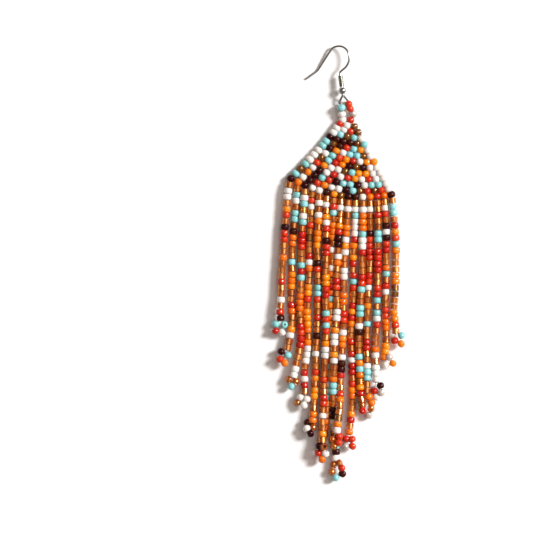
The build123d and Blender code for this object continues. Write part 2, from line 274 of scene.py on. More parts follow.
# Bead loop above the crown, in millimetres from the middle of the crown's top row.
# A column's girth is the width of its beads as a share of the loop's bead width.
LOOP_BEAD_LENGTH = 2
Column = namedtuple("Column", "spots glass girth")
LEFT_COLUMN = Column([(-1.6, 3.65, 2.35), (-1.43, 1.75, 1.6)], "TW", 1.1)
RIGHT_COLUMN = Column([(0.62, 4.7, 1.5), (1.05, 3.35, 2.2), (2.1, 1.8, 1.4)], "RRC", 0.92)
LOOP_THREAD = [
    (-0.35, 0.2, 1), (-1.43, 1.75, 1.6), (-1.6, 3.65, 2.35), (-1.65, 4.9, 2.5), (-1.1, 5.6, 2.2),
    (-0.75, 5.5, 0.3), (-0.05, 5.2, 0.18), (1.15, 4.95, 0.25), (0.62, 4.7, 1.5),
    (1.05, 3.35, 2.2), (2.1, 1.8, 1.4), (1.3, 0.2, 1),
]

# Middle of the picture, in millimetres from the middle of the earring
PICTURE_CENTRE = (-21.59, -1.2, 0)
# How far the table lies below the earring, in millimetres, and the stage's sizes in metres
TABLE_DROP = 0.02
TABLE_WIDTH = 3.0
LAMP_DISTANCE = 0.8
# Width of the camera's sensor, in millimetres
SENSOR_WIDTH = 36

Bead = namedtuple("Bead", "spot axis width length glass shape")


def length_property(name, description, millimetres):
    """A length that the user can change, given in millimetres."""
    return FloatProperty(
        name=name, description=description, default=millimetres * MM, unit="LENGTH"
    )


def angle_property(name, description, degrees):
    """An angle that the user can change, given in degrees."""
    return FloatProperty(
        name=name, description=description, default=math.radians(degrees), subtype="ANGLE"
    )


def strength_property(name, description, strength):
    """The strength of a light, which the user can change."""
    return FloatProperty(name=name, description=description, default=strength)


def share_property(name, description, share):
    """A share from 0 to 1 that the user can change."""
    return FloatProperty(name=name, description=description, default=share, subtype="FACTOR")


def colour_property(name, description, red, green, blue):
    """A colour that the user can change."""
    shown = (red, green, blue, 1.0)
    return FloatVectorProperty(
        name=name, description=description, default=shown, subtype="COLOR", size=4
    )


class BeadSizes(bpy.types.PropertyGroup):
    """Sizes of the seed beads and of the thread that they hang on"""

    crown_width: length_property("Crown Bead Width", "Diameter of a bead in the woven crown", 2.38)
    crown_length: length_property(
        "Crown Bead Length", "Length of a bead in the woven crown, along its hole", 2.08
    )
    loop_width: length_property(
        "Loop Bead Width", "Diameter of a bead in the loop above the crown", 2.45
    )
    strand_width: length_property(
        "Strand Bead Width", "Diameter of a solid-coloured bead in a strand", 2.45
    )
    lined_width: length_property(
        "Lined Bead Width", "Diameter of a see-through bead with a shiny lining", 2.36
    )
    lined_length: length_property(
        "Lined Bead Length", "Length of a see-through bead, along its hole", 1.76
    )
    strand_pitch: length_property(
        "Strand Pitch", "Distance from one bead to the next along a strand", 1.83
    )
    picot_width: length_property(
        "Picot Bead Width", "Diameter of a bead in the small loop that ends a strand", 2.38
    )
    picot_length: length_property(
        "Picot Bead Length", "Length of a bead in the small loop that ends a strand", 2.05
    )
    thread_radius: length_property(
        "Thread Radius", "Half the thickness of the beading thread", 0.12
    )
    spread: share_property(
        "Size Spread", "How much the beads differ in size, as a share of their size", 0.06
    )
    seed: IntProperty(
        name="Mix Seed",
        description="Start of the random order in which the beads are strung",
        default=92,
    )


class GlassColours(bpy.types.PropertyGroup):
    """Colours of the glass beads, their linings and the thread"""

    white: colour_property("Pearl White", "Colour of the white beads", 0.75, 0.71, 0.67)
    turquoise: colour_property("Turquoise", "Colour of the turquoise beads", 0.24, 0.57, 0.58)
    orange: colour_property("Orange", "Colour of the orange beads", 0.85, 0.19, 0.002)
    red: colour_property("Coral Red", "Colour of the red beads", 0.54, 0.02, 0.003)
    dark: colour_property("Dark Garnet", "Colour of the nearly black beads", 0.035, 0.003, 0.002)
    amber: colour_property("Amber", "Colour of the see-through amber beads", 0.62, 0.1, 0.001)
    brown: colour_property(
        "Bronze Brown", "Colour of the see-through brown beads", 0.17, 0.045, 0.005
    )
    clear: colour_property("Clear", "Colour of the clear beads", 0.72, 0.62, 0.55)
    gold_lining: colour_property(
        "Gold Lining", "Colour of the metal lining inside amber and brown beads", 1.0, 0.58, 0.2
    )
    silver_lining: colour_property(
        "Silver Lining", "Colour of the metal lining inside clear beads", 0.95, 0.92, 0.9
    )
    thread: colour_property("Thread", "Colour of the beading thread", 0.68, 0.6, 0.5)


class WireFinish(bpy.types.PropertyGroup):
    """Finish of the steel ear wire, its coil and its ball"""

    steel: colour_property("Steel", "Colour of the polished steel", 0.48, 0.5, 0.5)
    coil: colour_property(
        "Coil", "Colour of the duller wire that is wound round the stem", 0.33, 0.34, 0.28
    )
    roughness: share_property("Roughness", "How dull the polish is", 0.2)


class TableLight(bpy.types.PropertyGroup):
    """The white table, the window-like light and the camera over them"""

    table: colour_property("Table", "Colour of the table top", 0.93, 0.93, 0.93)
    key_strength: strength_property(
        "Key Light Strength", "Strength of the low light from the right", 4.6
    )
    key_softness: angle_property(
        "Key Light Softness", "Width of the key light: the wider, the softer the shadows", 17
    )
    key_elevation: angle_property(
        "Key Light Elevation", "Height of the light above the table, as an angle", 39
    )
    key_direction: angle_property(
        "Key Light Direction", "Direction of the light, turned from the right to the hook", 21
    )
    softbox_strength: strength_property(
        "Softbox Strength", "Strength of the broad light overhead", 0.5
    )
    softbox_softness: angle_property(
        "Softbox Softness", "Width of the overhead light as an angle", 44
    )
    softbox_elevation: angle_property(
        "Softbox Elevation", "Height of the overhead light above the table, as an angle", 70
    )
    fill: strength_property("Fill Light", "Strength of the even light from all round", 0.25)
    fill_colour: colour_property(
        "Fill Colour", "Colour of the even light, warmed by the beads", 1.0, 0.78, 0.66
    )
    picture_width: length_property(
        "Picture Width", "Width of the table that the camera sees", 159.9
    )
    camera_height: length_property("Camera Height", "Height of the camera above the table", 2500)


def crown_point(row, place):
    """Centre of a bead in the crown, in metres: row 0 is the hem, place 0 its left end."""
    t = row / (CROWN_ROWS - 1)
    bow = 4 * t * (1 - t)
    left_x = CROWN_WIDTH * (-0.5 * (1 - t) + TOP_LEFT[0] * t) + LEFT_BOW[0] * bow
    left_y = CROWN_HEIGHT * (HEM_TILT * (1 - t) + TOP_LEFT[1] * t) + LEFT_BOW[1] * bow
    right_x = CROWN_WIDTH * (0.5 * (1 - t) + TOP_RIGHT[0] * t) + RIGHT_BOW[0] * bow
    right_y = CROWN_HEIGHT * (-HEM_TILT * (1 - t) + TOP_RIGHT[1] * t) + RIGHT_BOW[1] * bow
    s = place / (HEM_BEADS - row - 1)
    sag = HEM_SAG * (1 - t) ** 1.5 * 4 * s * (1 - s)
    x = HEM_CENTRE[0] + left_x + (right_x - left_x) * s
    y = HEM_CENTRE[1] + left_y + (right_y - left_y) * s - sag
    return Vector((x, y, REST_HEIGHT)) * MM


def jitter(rng, amount):
    """A small random step in any direction."""
    return Vector((rng.uniform(-1, 1), rng.uniform(-1, 1), rng.uniform(-1, 1))) * amount


def pick(rng, mix):
    """One kind of glass, drawn by its share in a mix."""
    return rng.choices(list(mix), weights=list(mix.values()))[0]


def round_shape(glass):
    """Shape of a round bead, which has a lining if its glass is see-through."""
    return LINED_ROUND if glass in LINED else ROUND


def crown_beads(sizes):
    """The woven rows of the crown, one bead fewer in each row above the hem."""
    rng = random.Random(sizes.seed)
    beads = []
    for row in range(CROWN_ROWS):
        count = HEM_BEADS - row
        for place in range(count):
            spot = crown_point(row, place)
            across = crown_point(row, place + 0.5) - crown_point(row, place - 0.5)
            axis = Vector((-across.y, across.x, 0)).normalized()
            width = sizes.crown_width
            if row < CROWN_ROWS - 1 and place in (0, count - 1):
                inner = crown_point(row + 1, 0 if place == 0 else count - 2)
                edge = (inner - spot).normalized()
                axis = (axis + EDGE_LEAN * edge).normalized()
                width *= EDGE_GIRTH
            axis = (axis + jitter(rng, CROWN_LEAN)).normalized()
            spot = spot + jitter(rng, CROWN_SHIFT * MM)
            edge_share = abs(2 * place / (count - 1) - 1)
            mix = CROWN_EDGES if rng.random() < edge_share else CROWN_MIDDLE
            glass = pick(rng, mix)
            below_top = CROWN_ROWS - 1 - row
            if below_top < len(TOP_ROWS):
                glass = LETTERS[TOP_ROWS[below_top][place]]
            beads.append(Bead(spot, axis, width, sizes.crown_length, glass, round_shape(glass)))
    return beads


def string_glass(rng, count, first):
    """Kinds of glass down a strand: its first beads, then amber between short runs of colour."""
    kinds = [LETTERS[letter] for letter in first]
    while len(kinds) < count:
        for _ in range(rng.choice(COLOUR_RUNS)):
            repeated = kinds[-1] != AMBER and rng.random() < REPEAT_CHANCE
            kinds.append(kinds[-1] if repeated else pick(rng, FRINGE_MIX))
        kinds += [AMBER] * rng.choice(AMBER_RUNS)
    return kinds[:count]


def new_object(name, data):
    """A new object in the scene."""
    thing = bpy.data.objects.new(name, data)
    bpy.context.collection.objects.link(thing)
    return thing


def plain_mesh(thing):
    """The shape of an object and its modifiers, as a new mesh."""
    depsgraph = bpy.context.evaluated_depsgraph_get()
    return bpy.data.meshes.new_from_object(thing.evaluated_get(depsgraph))


def discard(thing, data_blocks):
    """Take an object and its data out of the file."""
    data = thing.data
    bpy.data.objects.remove(thing)
    data_blocks.remove(data)


def smooth_route(points):
    """Points along the smooth line through a strand's route."""
    curve = bpy.data.curves.new("route", "CURVE")
    curve.dimensions = "3D"
    curve.resolution_u = 10
    spline = curve.splines.new("NURBS")
    spline.points.add(len(points) - 1)
    for control, point in zip(spline.points, points):
        control.co = (*point, 1.0)
    spline.order_u = 3
    spline.use_endpoint_u = True
    guide = new_object("route", curve)
    mesh = plain_mesh(guide)
    line = [vertex.co.copy() for vertex in mesh.vertices]
    bpy.data.meshes.remove(mesh)
    discard(guide, bpy.data.curves)
    return line


def along_line(line, distances):
    """Place and direction at each distance along a line of points."""
    spots = []
    travelled = 0.0
    index = 0
    for distance in distances:
        while index < len(line) - 2:
            step = (line[index + 1] - line[index]).length
            if travelled + step >= distance:
                break
            travelled += step
            index += 1
        heading = (line[index + 1] - line[index]).normalized()
        spots.append((line[index] + heading * (distance - travelled), heading))
    return spots


def picot_beads(number, letters, end, spots, sizes):
    """Beads of the picot that ends a strand, and the line of its thread."""
    line = [end] + spots
    if (spots[-1] - end).length < PICOT_REACH * MM:
        line.append(end)
    beads = []
    for index, (spot, letter) in enumerate(zip(spots, letters)):
        after = line[index + 2] if index + 2 < len(line) else spot
        axis = (after - line[index]).normalized()
        if (number, index) in UPRIGHT:
            axis = Vector(UPRIGHT_AXIS).normalized()
        glass = LETTERS[letter]
        shape = round_shape(glass)
        beads.append(Bead(spot, axis, sizes.picot_width, sizes.picot_length, glass, shape))
    return beads, line


def strand_beads(number, strand, sizes):
    """Beads of one strand with its picot, and the lines of the thread through them."""
    rng = random.Random(sizes.seed * 100 + number)
    hem = crown_point(0, number - 1)

    def place(point):
        drift, drop, lift = point
        return hem + Vector((drift, -drop, lift)) * MM

    route = [place(point) for point in strand.route]
    line = smooth_route([hem] + route)
    reach = sum((b - a).length for a, b in zip(line, line[1:]))
    start = FIRST_BEAD * sizes.strand_pitch
    raised = STRAND_RISE * MM * (number % 2)
    count = round((reach - start) / sizes.strand_pitch) + 1
    step = (reach - start) / (count - 1)
    spots = along_line(line, [start + step * i for i in range(count)])
    beads = []
    for (spot, heading), glass in zip(spots, string_glass(rng, count, strand.first)):
        axis = (heading + jitter(rng, STRAND_LEAN)).normalized()
        spot = spot + jitter(rng, STRAND_SHIFT * MM)
        spot.z = max(spot.z, sizes.strand_width / 2) + raised
        if glass in LINED:
            beads.append(Bead(spot, axis, sizes.lined_width, sizes.lined_length, glass, CUT))
        else:
            length = step * BARREL_FILL
            beads.append(Bead(spot, axis, sizes.strand_width, length, glass, BARREL))
    picot_spots = [place(point) for point in strand.picot]
    picot, loop = picot_beads(number, strand.picot_glass, route[-1], picot_spots, sizes)
    return beads + picot, [line, loop]


def loop_beads(sizes):
    """Beads of the two short columns above the crown, and the thread through them."""
    top = (crown_point(CROWN_ROWS - 1, 0) + crown_point(CROWN_ROWS - 1, 1)) / 2

    def place(point):
        return Vector((top.x, top.y, 0)) + Vector(point) * MM

    beads = []
    for column in (LEFT_COLUMN, RIGHT_COLUMN):
        spots = [place(spot) for spot in column.spots]
        for index, letter in enumerate(column.glass):
            before = spots[max(index - 1, 0)]
            after = spots[min(index + 1, len(spots) - 1)]
            axis = (after - before).normalized()
            glass = LETTERS[letter]
            width = sizes.loop_width * column.girth
            length = LOOP_BEAD_LENGTH * MM
            beads.append(Bead(spots[index], axis, width, length, glass, round_shape(glass)))
    return beads, [smooth_route([place(point) for point in LOOP_THREAD])]


def new_group(name, kind):
    """An empty node group, replacing any older one of its name."""
    old = bpy.data.node_groups.get(name)
    if old:
        bpy.data.node_groups.remove(old)
    return bpy.data.node_groups.new(name, kind)


def add_socket(group, name, kind, way="INPUT", value=None):
    """Give a node group one more input or output."""
    socket = group.interface.new_socket(name, in_out=way, socket_type=kind)
    if value is not None:
        socket.default_value = value


def bead_shape(name, outside, inside=(), crisp=False):
    """A seed bead one unit wide and long, drilled along Z, turned from the upper half of its
    profile: radius and height pairs outside from the middle to the hole, then inside."""
    upper = [*outside, *inside]
    profile = [(radius, -height) for radius, height in reversed(upper)] + upper
    rings = len(profile)
    verts = []
    for radius, height in profile:
        for side in range(BEAD_SIDES):
            turn = 2 * math.pi * side / BEAD_SIDES
            verts.append((radius * math.cos(turn), radius * math.sin(turn), height))
    faces = []
    lining = []
    for ring in range(rings):
        above = (ring + 1) % rings * BEAD_SIDES
        below = ring * BEAD_SIDES
        for side in range(BEAD_SIDES):
            after = (side + 1) % BEAD_SIDES
            faces.append((below + side, below + after, above + after, above + side))
            lining.append(ring < len(inside) or ring >= rings - len(inside) - 1)
    mesh = bpy.data.meshes.new(name)
    mesh.from_pydata(verts, [], faces)
    mesh.update()
    mesh.attributes.new("lining", "BOOLEAN", "FACE").data.foreach_set("value", lining)
    mesh.polygons.foreach_set("use_smooth", [True] * len(faces))
    if crisp:
        ends = [edge.vertices for edge in mesh.edges]
        sharp = [first // BEAD_SIDES == last // BEAD_SIDES for first, last in ends]
        mesh.attributes.new("sharp_edge", "BOOLEAN", "EDGE").data.foreach_set("value", sharp)
    bpy.data.collections["bead_shapes"].objects.link(bpy.data.objects.new(name, mesh))


def fill_inputs(node, values):
    """Set a node's inputs, by name or place, to plain values or to other nodes' outputs."""
    for name, value in values.items():
        socket = node.inputs[name]
        if isinstance(value, bpy.types.NodeSocket):
            node.id_data.links.new(value, socket)
        else:
            socket.default_value = value


def new_node(nodes, kind, inputs=(), **settings):
    """A node with its settings, and with its inputs filled by name or place."""
    node = nodes.new(kind)
    for name, value in settings.items():
        setattr(node, name, value)
    fill_inputs(node, dict(inputs))
    return node


def math_node(nodes, operation, *values):
    """The result of a sum: each value is a number or another node's output."""
    inputs = enumerate(values)
    return new_node(nodes, "ShaderNodeMath", inputs, operation=operation).outputs[0]


def vector_product(nodes, *values):
    """Two vectors multiplied part by part."""
    inputs = enumerate(values)
    return new_node(nodes, "ShaderNodeVectorMath", inputs, operation="MULTIPLY").outputs[0]


def named_attribute(nodes, name, kind):
    """A quality that each bead point carries."""
    node = new_node(nodes, "GeometryNodeInputNamedAttribute", {"Name": name}, data_type=kind)
    return node.outputs["Attribute"]


def random_value(nodes, kind, seed, low, high):
    """A random number or vector for each bead point."""
    inputs = {"Min": low, "Max": high, "Seed": seed}
    return new_node(nodes, "FunctionNodeRandomValue", inputs, data_type=kind).outputs["Value"]


def coated(nodes, geometry, material, chosen=True):
    """Geometry with a material on the faces that are chosen."""
    inputs = {"Geometry": geometry, "Selection": chosen, "Material": material}
    return new_node(nodes, "GeometryNodeSetMaterial", inputs).outputs["Geometry"]


def bead_turn(nodes, seed):
    """Rotation that lays a bead's hole along its axis, and turns the bead about it at random."""
    axis = named_attribute(nodes, "axis", "FLOAT_VECTOR")
    angles = random_value(nodes, "FLOAT_VECTOR", seed, (0, 0, 0), (0, 0, 2 * math.pi))
    align = new_node(nodes, "FunctionNodeAlignRotationToVector", {"Vector": axis}, axis="Z")
    spin = new_node(nodes, "FunctionNodeEulerToRotation", {"Euler": angles})
    turn = new_node(
        nodes,
        "FunctionNodeRotateRotation",
        {"Rotation": align.outputs["Rotation"], "Rotate By": spin.outputs["Rotation"]},
        rotation_space="LOCAL",
    )
    return turn.outputs["Rotation"]


def bead_size(nodes, spread, seed):
    """Width, width and length of a bead, each a little off at random."""
    smallest = math_node(nodes, "SUBTRACT", 1.0, spread)
    largest = math_node(nodes, "ADD", 1.0, spread)
    sway = random_value(nodes, "FLOAT_VECTOR", seed, smallest, largest)
    return vector_product(nodes, named_attribute(nodes, "girth", "FLOAT_VECTOR"), sway)


def coated_beads(nodes, beads, given):
    """The beads, each with the material of its glass, and that of its lining in its hole."""
    glass = named_attribute(nodes, "glass", "INT")
    lined = named_attribute(nodes, "lining", "BOOLEAN")
    for kind in range(len(GLASSES)):
        same = math_node(nodes, "COMPARE", glass, kind, 0.5)
        inner = math_node(nodes, "MULTIPLY", same, lined)
        beads = coated(nodes, beads, given[f"Glass {kind}"], same)
        beads = coated(nodes, beads, given[f"Lining {kind}"], inner)
    return beads


def thread_tube(nodes, given):
    """The thread as a thin tube along its line."""
    line = new_node(nodes, "GeometryNodeObjectInfo", {"Object": given["Thread Line"]})
    ring = new_node(
        nodes,
        "GeometryNodeCurvePrimitiveCircle",
        {"Resolution": THREAD_SIDES, "Radius": given["Thread Radius"]},
    )
    tube_values = {
        "Curve": line.outputs["Geometry"],
        "Profile Curve": ring.outputs["Curve"],
        "Fill Caps": True,
    }
    tube = new_node(nodes, "GeometryNodeCurveToMesh", tube_values)
    return coated(nodes, tube.outputs["Mesh"], given["Thread Finish"])


def strung_beads_tree():
    """Node tree that puts a bead on every point, gives it its glass, and adds the thread."""
    tree = new_group("Strung Beads", "GeometryNodeTree")
    add_socket(tree, "Geometry", "NodeSocketGeometry", "OUTPUT")
    add_socket(tree, "Geometry", "NodeSocketGeometry")
    add_socket(tree, "Bead Shapes", "NodeSocketCollection")
    add_socket(tree, "Thread Line", "NodeSocketObject")
    add_socket(tree, "Thread Radius", "NodeSocketFloat", value=0.12 * MM)
    add_socket(tree, "Size Spread", "NodeSocketFloat", value=0.05)
    add_socket(tree, "Seed", "NodeSocketInt", value=1)
    for kind in range(len(GLASSES)):
        add_socket(tree, f"Glass {kind}", "NodeSocketMaterial")
        add_socket(tree, f"Lining {kind}", "NodeSocketMaterial")
    add_socket(tree, "Thread Finish", "NodeSocketMaterial")
    nodes = tree.nodes
    given = nodes.new("NodeGroupInput").outputs
    seed = given["Seed"]
    shapes = new_node(
        nodes,
        "GeometryNodeCollectionInfo",
        {"Collection": given["Bead Shapes"], "Separate Children": True},
    )
    bead_values = {
        "Points": given["Geometry"],
        "Instance": shapes.outputs["Instances"],
        "Pick Instance": True,
        "Instance Index": named_attribute(nodes, "shape", "INT"),
        "Rotation": bead_turn(nodes, seed),
        "Scale": bead_size(nodes, given["Size Spread"], seed),
    }
    place = new_node(nodes, "GeometryNodeInstanceOnPoints", bead_values)
    tint_values = {
        "Geometry": place.outputs["Instances"],
        "Name": "tint",
        "Value": random_value(nodes, "FLOAT", seed, 0.0, 1.0),
    }
    store = new_node(
        nodes, "GeometryNodeStoreNamedAttribute", tint_values, data_type="FLOAT", domain="INSTANCE"
    )
    real = new_node(
        nodes, "GeometryNodeRealizeInstances", {"Geometry": store.outputs["Geometry"]}
    )
    join = nodes.new("GeometryNodeJoinGeometry")
    fill_inputs(join, {"Geometry": coated_beads(nodes, real.outputs["Geometry"], given)})
    fill_inputs(join, {"Geometry": thread_tube(nodes, given)})
    new_node(nodes, "NodeGroupOutput", {"Geometry": join.outputs["Geometry"]})


def set_input(modifier, name, value):
    """Set a modifier's input by its name, through its socket's identifier."""
    for item in modifier.node_group.interface.items_tree:
        if item.item_type == "SOCKET" and item.in_out == "INPUT" and item.name == name:
            modifier[item.identifier] = value
            return
    raise KeyError(name)


def thread_object(lines):
    """The thread's lines as one curve object."""
    curve = bpy.data.curves.new("thread_line", "CURVE")
    curve.dimensions = "3D"
    for line in lines:
        spline = curve.splines.new("POLY")
        spline.points.add(len(line) - 1)
        for control, point in zip(spline.points, line):
            control.co = (*point, 1.0)
    return new_object("thread_line", curve)


def bead_points(name, beads):
    """An object with a point for each bead, which carries the bead's qualities."""
    points = bpy.data.meshes.new(name)
    points.from_pydata([bead.spot for bead in beads], [], [])
    axes = [value for bead in beads for value in bead.axis]
    girths = [value for bead in beads for value in (bead.width, bead.width, bead.length)]
    points.attributes.new("axis", "FLOAT_VECTOR", "POINT").data.foreach_set("vector", axes)
    points.attributes.new("girth", "FLOAT_VECTOR", "POINT").data.foreach_set("vector", girths)
    for quality in ("glass", "shape"):
        values = [getattr(bead, quality) for bead in beads]
        points.attributes.new(quality, "INT", "POINT").data.foreach_set("value", values)
    return new_object(name, points)


def string_up(name, beads, lines, sizes, seed, node):
    """Make one plain mesh of a string of beads and hand it over for its solid."""
    guide = bead_points(name + "_points", beads)
    thread = thread_object(lines)
    modifier = guide.modifiers.new("Strung Beads", "NODES")
    modifier.node_group = bpy.data.node_groups["Strung Beads"]
    set_input(modifier, "Bead Shapes", bpy.data.collections["bead_shapes"])
    set_input(modifier, "Thread Line", thread)
    set_input(modifier, "Thread Radius", sizes.thread_radius)
    set_input(modifier, "Size Spread", sizes.spread)
    set_input(modifier, "Seed", seed)
    for kind, glass in enumerate(GLASSES):
        set_input(modifier, f"Glass {kind}", bpy.data.materials[glass.name])
        lining_name = LINING_NAMES.get(kind, glass.name)
        set_input(modifier, f"Lining {kind}", bpy.data.materials[lining_name])
    set_input(modifier, "Thread Finish", bpy.data.materials["beading_thread"])
    mesh = plain_mesh(guide)
    if not mesh.polygons:
        raise RuntimeError(f"{name} came out empty")
    mesh.name = name
    discard(guide, bpy.data.meshes)
    discard(thread, bpy.data.curves)
    piece = new_object(name, mesh)
    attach(piece, "root")
    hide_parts(node)


def object_place(nodes):
    """Place on the piece, which its pattern is fixed to."""
    return nodes.new("ShaderNodeTexCoord").outputs["Object"]


def object_noise(nodes, scale, detail):
    """Noise that is fixed to the piece, in cells per metre."""
    inputs = {"Vector": object_place(nodes), "Scale": scale, "Detail": detail}
    return new_node(nodes, "ShaderNodeTexNoise", inputs).outputs["Fac"]


def bumped_normal(nodes, height, strength, distance):
    """Normal of a surface with a little relief, its distance in millimetres."""
    inputs = {"Height": height, "Strength": strength, "Distance": distance * MM}
    return new_node(nodes, "ShaderNodeBump", inputs).outputs["Normal"]


def bead_tint(nodes):
    """The random number that each bead carries."""
    return new_node(nodes, "ShaderNodeAttribute", attribute_name="tint").outputs["Fac"]


def shade(colour, share):
    """A darker shade of a colour."""
    return [value * share for value in colour[:3]] + [1.0]


def mixed_colour(nodes, factor, low, high):
    """A colour that goes from low to high as the factor rises."""
    inputs = {"Factor": factor, "A": low, "B": high}
    return new_node(nodes, "ShaderNodeMix", inputs, data_type="RGBA").outputs["Result"]


def new_range(nodes, value, old=(0.0, 1.0), new=(0.0, 1.0)):
    """A value carried over from its old range to a new one."""
    inputs = {
        "Value": value,
        "From Min": old[0],
        "From Max": old[1],
        "To Min": new[0],
        "To Max": new[1],
    }
    return new_node(nodes, "ShaderNodeMapRange", inputs).outputs["Result"]


def glass_batch_group():
    """Shader group: a colour that differs a little from bead to bead and within a bead."""
    group = new_group("Glass Batch", "ShaderNodeTree")
    add_socket(group, "Colour", "NodeSocketColor", "OUTPUT")
    add_socket(group, "Roughness", "NodeSocketFloat", "OUTPUT")
    add_socket(group, "Height", "NodeSocketFloat", "OUTPUT")
    add_socket(group, "Colour", "NodeSocketColor", value=(0.8, 0.8, 0.8, 1))
    for name, value in (
        ("Light Spread", 0.2),
        ("Hue Spread", 0.01),
        ("Dullness", 0.12),
        ("Mean Light", 0.92),
        ("Cloud Light", 0.16),
        ("Cloud Dullness", 0.08),
    ):
        add_socket(group, name, "NodeSocketFloat", value=value)
    nodes = group.nodes
    given = nodes.new("NodeGroupInput").outputs

    def blend(factor, amount, base):
        return math_node(nodes, "MULTIPLY_ADD", factor, amount, base)

    cloud = object_noise(nodes, scale=900, detail=2)
    off_centre = math_node(nodes, "SUBTRACT", bead_tint(nodes), 0.5)
    light = blend(off_centre, given["Light Spread"], given["Mean Light"])
    shift_values = {
        "Hue": blend(off_centre, given["Hue Spread"], 0.5),
        "Value": blend(cloud, given["Cloud Light"], light),
        "Color": given["Colour"],
    }
    shift = new_node(nodes, "ShaderNodeHueSaturation", shift_values)
    results = {
        "Colour": shift.outputs["Color"],
        "Roughness": blend(cloud, given["Cloud Dullness"], given["Dullness"]),
        "Height": cloud,
    }
    new_node(nodes, "NodeGroupOutput", results)


def new_material(name):
    """A new material's nodes and its Principled shader."""
    material = bpy.data.materials.new(name)
    material.use_nodes = True
    nodes = material.node_tree.nodes
    return nodes, nodes["Principled BSDF"]


def glass_material(glass, colour):
    """Glossy bead glass; where it is see-through, the lining of its hole shows."""
    nodes, shader = new_material(glass.name)
    batch = nodes.new("ShaderNodeGroup")
    batch.node_tree = bpy.data.node_groups["Glass Batch"]
    batch_values = {
        "Colour": colour,
        "Light Spread": glass.light_spread,
        "Hue Spread": glass.hue_spread,
        "Dullness": glass.dull,
    }
    fill_inputs(batch, batch_values)
    relief = batch.outputs["Height"]
    glass_values = {
        "Base Color": batch.outputs["Colour"],
        "Roughness": batch.outputs["Roughness"],
        "Normal": bumped_normal(nodes, relief, strength=0.25, distance=0.04),
        "IOR": 1.52,
        "Specular IOR Level": glass.mirror,
        "Alpha": 1 - glass.see_through,
        "Subsurface Weight": glass.milky,
        "Subsurface Radius": (1.0, 0.8, 0.6),
        "Subsurface Scale": 0.7 * MM,
    }
    fill_inputs(shader, glass_values)


def lining_material(name, colour):
    """Thin metal lining in the hole of a see-through bead, with glints and shade painted in
    streaks down the strand.
    """
    nodes, shader = new_material(name)
    # Noise stretched down the strand paints bright glint stripes and dark shade stripes into the
    # lining's colour
    painted_glint_values = {
        "Vector": vector_product(nodes, object_place(nodes), PAINTED_GLINT_STREAKS),
        "W": bead_tint(nodes),
        "Scale": 1.0,
        "Detail": 1.0,
    }
    painted_glints = new_node(nodes, "ShaderNodeTexNoise", painted_glint_values, noise_dimensions="4D")
    glint_share = new_range(nodes, painted_glints.outputs["Fac"], old=PAINTED_GLINT_CONTRAST)
    glint_and_shade_colour = mixed_colour(nodes, glint_share, shade(colour, PAINTED_GLINT_SHADE), colour)
    fill_inputs(shader, {"Base Color": glint_and_shade_colour, "Metallic": 1.0, "Roughness": LINING_ROUGHNESS})


def thread_material(colour):
    """Waxed beading thread with its twist."""
    nodes, shader = new_material("beading_thread")
    twist_values = {"Vector": object_place(nodes), "Scale": 900}
    twist = new_node(nodes, "ShaderNodeTexWave", twist_values, bands_direction="DIAGONAL")
    normal = bumped_normal(nodes, twist.outputs["Fac"], strength=0.4, distance=0.03)
    fill_inputs(shader, {"Base Color": colour, "Roughness": 0.6, "Normal": normal})


def steel_material(name, colour, roughness):
    """Polished steel wire with a little tarnish."""
    nodes, shader = new_material(name)
    stain = object_noise(nodes, scale=420, detail=4)
    dullness = [share * roughness for share in STAIN_DULLNESS]
    steel_values = {
        "Base Color": mixed_colour(nodes, stain, colour, shade(colour, STAIN_SHADE)),
        "Metallic": 1.0,
        "Roughness": new_range(nodes, stain, new=dullness),
        "Normal": bumped_normal(nodes, stain, strength=0.15, distance=0.02),
    }
    fill_inputs(shader, steel_values)


def table_top(colour):
    """The white table that the earring lies on."""
    mesh = bpy.data.meshes.new("table_top")
    half = TABLE_WIDTH / 2
    corners = [(-half, -half, 0), (half, -half, 0), (half, half, 0), (-half, half, 0)]
    mesh.from_pydata(corners, [], [(0, 1, 2, 3)])
    table = new_object("table_top", mesh)
    table.location.z = -TABLE_DROP * MM
    _, shader = new_material("white_table")
    fill_inputs(shader, {"Base Color": colour, "Roughness": 0.6})
    mesh.materials.append(bpy.data.materials["white_table"])


def sun_lamp(name, strength, softness, rise, turn):
    """A lamp as far away as the sun, at an elevation and a direction."""
    lamp = bpy.data.lights.new(name, "SUN")
    lamp.energy = strength
    lamp.angle = softness
    light = new_object(name, lamp)
    across = Vector((math.cos(turn), math.sin(turn), 0))
    towards = across * math.cos(rise) + Vector((0, 0, math.sin(rise)))
    light.location = Vector(PICTURE_CENTRE) * MM + towards * LAMP_DISTANCE
    light.rotation_euler = (-towards).to_track_quat("-Z", "Y").to_euler()


def soft_room(colour, strength):
    """Even light from all round, with a plain white backdrop where the camera looks past it."""
    world = bpy.data.worlds.new("soft_room")
    world.use_nodes = True
    nodes = world.node_tree.nodes
    sky = nodes["Background"]
    fill_inputs(sky, {"Color": colour, "Strength": strength})
    backdrop = new_node(nodes, "ShaderNodeBackground", {"Color": (1.0, 1.0, 1.0, 1.0)})
    blend_values = {
        "Fac": nodes.new("ShaderNodeLightPath").outputs["Is Camera Ray"],
        1: sky.outputs["Background"],
        2: backdrop.outputs["Background"],
    }
    blend = new_node(nodes, "ShaderNodeMixShader", blend_values)
    fill_inputs(nodes["World Output"], {"Surface": blend.outputs["Shader"]})
    bpy.context.scene.world = world


def overhead_camera(height, picture_width):
    """A camera that looks straight down on the middle of the picture."""
    lens = bpy.data.cameras.new("overhead_camera")
    lens.sensor_width = SENSOR_WIDTH
    lens.lens = SENSOR_WIDTH * height / picture_width
    camera = new_object("overhead_camera", lens)
    camera.location = Vector(PICTURE_CENTRE) * MM + Vector((0, 0, height))
    bpy.context.scene.camera = camera


